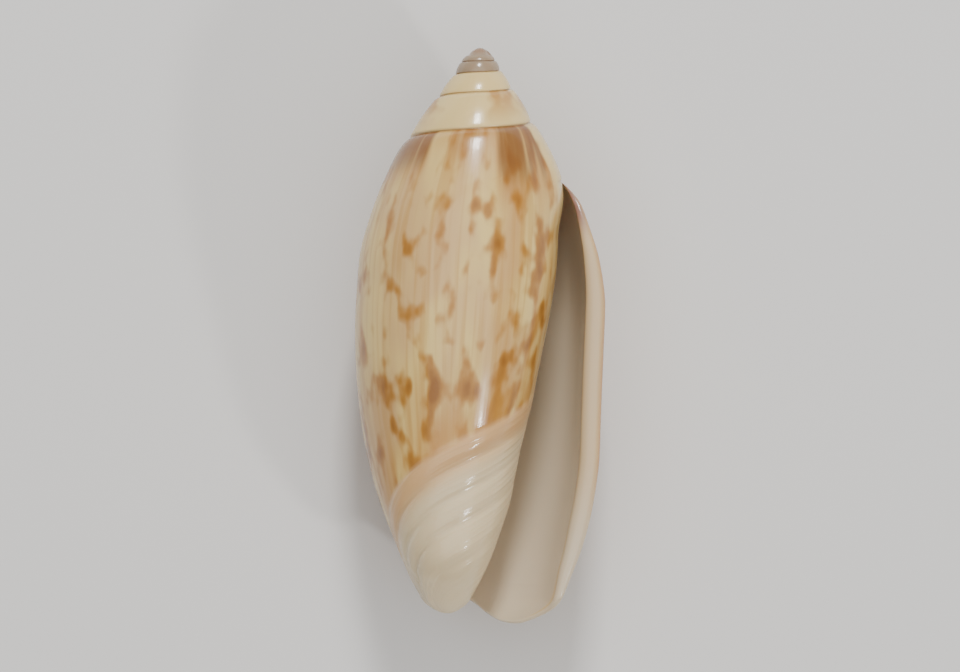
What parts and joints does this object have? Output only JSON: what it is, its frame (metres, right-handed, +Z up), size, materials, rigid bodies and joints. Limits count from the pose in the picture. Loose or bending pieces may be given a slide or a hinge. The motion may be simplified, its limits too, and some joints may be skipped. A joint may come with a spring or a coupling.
{
  "type": "olive shell",
  "caption": "Glossy spindle-shaped sea-snail shell with a low pointed spire, a long narrow aperture, slanting folds at the siphonal end and a tan-blotched cream surface.",
  "frame": {"origin": "middle of the box in plan, at the height of the surface that the shell lies on", "axes": "+Y towards the apex along the shell's length, +X towards the outer lip, +Z up, out of the aperture side; the shell lies on its back"},
  "size_m": [0.0112, 0.026, 0.0099],
  "materials": {
    "shell": "natural high gloss, cream with tan and orange-brown blotches, white folds and a greyish white inside"
  },
  "bodies": {
    "root": {"shell": "shell"}
  },
  "joints": []
}
